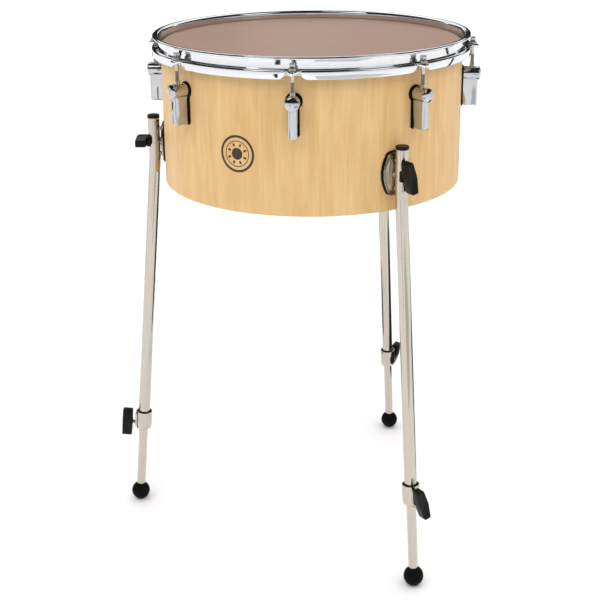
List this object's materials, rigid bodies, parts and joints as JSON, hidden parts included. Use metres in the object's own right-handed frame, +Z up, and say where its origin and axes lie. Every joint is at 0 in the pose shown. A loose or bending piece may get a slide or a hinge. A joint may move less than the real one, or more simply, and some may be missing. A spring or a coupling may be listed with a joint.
{
  "type": "timpani drum",
  "caption": "Single-headed tunable classroom timpani: open wooden shell, chromed hoop with tension rods, and plug-in telescopic legs on rubber ball feet.",
  "frame": {"origin": "middle of the object's outer box at floor level; the drum's axis stands 30.1 mm towards +X and 1.5 mm towards -Y of it", "axes": "+Z up along the drum's axis towards the playing head, -Y towards the player's side with the front leg pair to the right, +X to the right seen from there"},
  "size_m": [0.5118, 0.5022, 0.708],
  "materials": {
    "shell_wood": "clear satin lacquer over pale rotary-cut maple veneer, grain upright",
    "drumhead": "matte pinkish-brown polyester film with faint hide mottling",
    "aluminium_hoop": "plain rolled channel",
    "chrome_hoop": "bright chrome on rolled steel sheet",
    "chrome_lug": "bright chrome on die-cast zinc",
    "steel_hardware": "bright plated steel",
    "nickel_leg": "warm nickel plate on steel tube",
    "black_plastic": "moulded nylon, fine texture",
    "black_rubber": "moulded rubber"
  },
  "bodies": {
    "drum": {"shell": "shell_wood", "head_membrane": "drumhead", "lug_casing_1": "chrome_lug", "swivel_nut_1": "steel_hardware", "lug_casing_2": "chrome_lug", "swivel_nut_2": "steel_hardware", "lug_casing_3": "chrome_lug", "swivel_nut_3": "steel_hardware", "lug_casing_4": "chrome_lug", "swivel_nut_4": "steel_hardware", "lug_casing_5": "chrome_lug", "swivel_nut_5": "steel_hardware", "lug_casing_6": "chrome_lug", "swivel_nut_6": "steel_hardware", "lug_casing_7": "chrome_lug", "swivel_nut_7": "steel_hardware", "lug_casing_8": "chrome_lug", "swivel_nut_8": "steel_hardware", "bracket_gasket_1": "black_rubber", "leg_bracket_1": "nickel_leg", "leg_tube_1": "nickel_leg", "leg_cap_1": "black_plastic", "saddle_washer_1": "black_plastic", "leg_collar_1": "nickel_leg", "bracket_gasket_2": "black_rubber", "leg_bracket_2": "nickel_leg", "leg_tube_2": "nickel_leg", "leg_cap_2": "black_plastic", "saddle_washer_2": "black_plastic", "leg_collar_2": "nickel_leg", "bracket_gasket_3": "black_rubber", "leg_bracket_3": "nickel_leg", "leg_tube_3": "nickel_leg", "leg_cap_3": "black_plastic", "saddle_washer_3": "black_plastic", "leg_collar_3": "nickel_leg"},
    "tuning_hoop": {"counter_hoop": "chrome_hoop", "flesh_hoop": "aluminium_hoop"},
    "tension_rod_1": {"tension_rod_1": "steel_hardware"},
    "tension_rod_2": {"tension_rod_2": "steel_hardware"},
    "tension_rod_3": {"tension_rod_3": "steel_hardware"},
    "tension_rod_4": {"tension_rod_4": "steel_hardware"},
    "tension_rod_5": {"tension_rod_5": "steel_hardware"},
    "tension_rod_6": {"tension_rod_6": "steel_hardware"},
    "tension_rod_7": {"tension_rod_7": "steel_hardware"},
    "tension_rod_8": {"tension_rod_8": "steel_hardware"},
    "leg_extension_1": {"leg_extension_1": "nickel_leg", "rubber_foot_1": "black_rubber"},
    "bracket_wing_1": {"bracket_wing_1": "black_plastic"},
    "collar_wing_1": {"collar_wing_1": "black_plastic"},
    "leg_extension_2": {"leg_extension_2": "nickel_leg", "rubber_foot_2": "black_rubber"},
    "bracket_wing_2": {"bracket_wing_2": "black_plastic"},
    "collar_wing_2": {"collar_wing_2": "black_plastic"},
    "leg_extension_3": {"leg_extension_3": "nickel_leg", "rubber_foot_3": "black_rubber"},
    "bracket_wing_3": {"bracket_wing_3": "black_plastic"},
    "collar_wing_3": {"collar_wing_3": "black_plastic"}
  },
  "joints": [
    {"name": "hoop_tuning", "type": "slide", "parent": "drum", "child": "tuning_hoop", "axis": [0, 0, -1], "range_m": [-0.004, 0.003]},
    {"name": "tension_rod_1_turn", "type": "hinge", "parent": "tuning_hoop", "child": "tension_rod_1", "pos_m": [0.00581, -0.21509, 0.697], "axis": [0, 0, -1], "range_deg": [-1801, 1351]},
    {"name": "tension_rod_2_turn", "type": "hinge", "parent": "tuning_hoop", "child": "tension_rod_2", "pos_m": [0.16399, -0.16974, 0.697], "axis": [0, 0, -1], "range_deg": [-1801, 1351]},
    {"name": "tension_rod_3_turn", "type": "hinge", "parent": "tuning_hoop", "child": "tension_rod_3", "pos_m": [0.24377, -0.02581, 0.697], "axis": [0, 0, -1], "range_deg": [-1801, 1351]},
    {"name": "tension_rod_4_turn", "type": "hinge", "parent": "tuning_hoop", "child": "tension_rod_4", "pos_m": [0.19841, 0.13237, 0.697], "axis": [0, 0, -1], "range_deg": [-1801, 1351]},
    {"name": "tension_rod_5_turn", "type": "hinge", "parent": "tuning_hoop", "child": "tension_rod_5", "pos_m": [0.05449, 0.21214, 0.697], "axis": [0, 0, -1], "range_deg": [-1801, 1351]},
    {"name": "tension_rod_6_turn", "type": "hinge", "parent": "tuning_hoop", "child": "tension_rod_6", "pos_m": [-0.10369, 0.16679, 0.697], "axis": [0, 0, -1], "range_deg": [-1801, 1351]},
    {"name": "tension_rod_7_turn", "type": "hinge", "parent": "tuning_hoop", "child": "tension_rod_7", "pos_m": [-0.18347, 0.02286, 0.697], "axis": [0, 0, -1], "range_deg": [-1801, 1351]},
    {"name": "tension_rod_8_turn", "type": "hinge", "parent": "tuning_hoop", "child": "tension_rod_8", "pos_m": [-0.13811, -0.13532, 0.697], "axis": [0, 0, -1], "range_deg": [-1801, 1351]},
    {"name": "leg_1_height", "type": "slide", "parent": "drum", "child": "leg_extension_1", "axis": [-0.0869, 0, -0.9962], "range_m": [-0.085, 0.15]},
    {"name": "leg_2_height", "type": "slide", "parent": "drum", "child": "leg_extension_2", "axis": [0.0434, -0.0752, -0.9962], "range_m": [-0.085, 0.15]},
    {"name": "leg_3_height", "type": "slide", "parent": "drum", "child": "leg_extension_3", "axis": [0.0434, 0.0752, -0.9962], "range_m": [-0.085, 0.15]},
    {"name": "bracket_wing_1_turn", "type": "hinge", "parent": "drum", "child": "bracket_wing_1", "pos_m": [-0.20385, -0.00147, 0.558], "axis": [-1, 0, 0], "range_deg": [0, 720]},
    {"name": "bracket_wing_2_turn", "type": "hinge", "parent": "drum", "child": "bracket_wing_2", "pos_m": [0.14715, -0.20413, 0.558], "axis": [0.5, -0.866, 0], "range_deg": [0, 720]},
    {"name": "bracket_wing_3_turn", "type": "hinge", "parent": "drum", "child": "bracket_wing_3", "pos_m": [0.14715, 0.20117, 0.558], "axis": [0.5, 0.866, 0], "range_deg": [0, 720]},
    {"name": "collar_wing_1_turn", "type": "hinge", "parent": "drum", "child": "collar_wing_1", "pos_m": [-0.24693, -0.00147, 0.12874], "axis": [-0.9962, 0, 0.0869], "range_deg": [0, 720]},
    {"name": "collar_wing_2_turn", "type": "hinge", "parent": "drum", "child": "collar_wing_2", "pos_m": [0.16869, -0.24144, 0.12874], "axis": [0.4981, -0.8628, 0.0869], "range_deg": [0, 720]},
    {"name": "collar_wing_3_turn", "type": "hinge", "parent": "drum", "child": "collar_wing_3", "pos_m": [0.16869, 0.23849, 0.12874], "axis": [0.4981, 0.8628, 0.0869], "range_deg": [0, 720]}
  ],
  "couplings": [
    {"joint": "tension_rod_1_turn", "follows": "hoop_tuning", "rad_per_m": 7854},
    {"joint": "tension_rod_2_turn", "follows": "hoop_tuning", "rad_per_m": 7854},
    {"joint": "tension_rod_3_turn", "follows": "hoop_tuning", "rad_per_m": 7854},
    {"joint": "tension_rod_4_turn", "follows": "hoop_tuning", "rad_per_m": 7854},
    {"joint": "tension_rod_5_turn", "follows": "hoop_tuning", "rad_per_m": 7854},
    {"joint": "tension_rod_6_turn", "follows": "hoop_tuning", "rad_per_m": 7854},
    {"joint": "tension_rod_7_turn", "follows": "hoop_tuning", "rad_per_m": 7854},
    {"joint": "tension_rod_8_turn", "follows": "hoop_tuning", "rad_per_m": 7854}
  ]
}
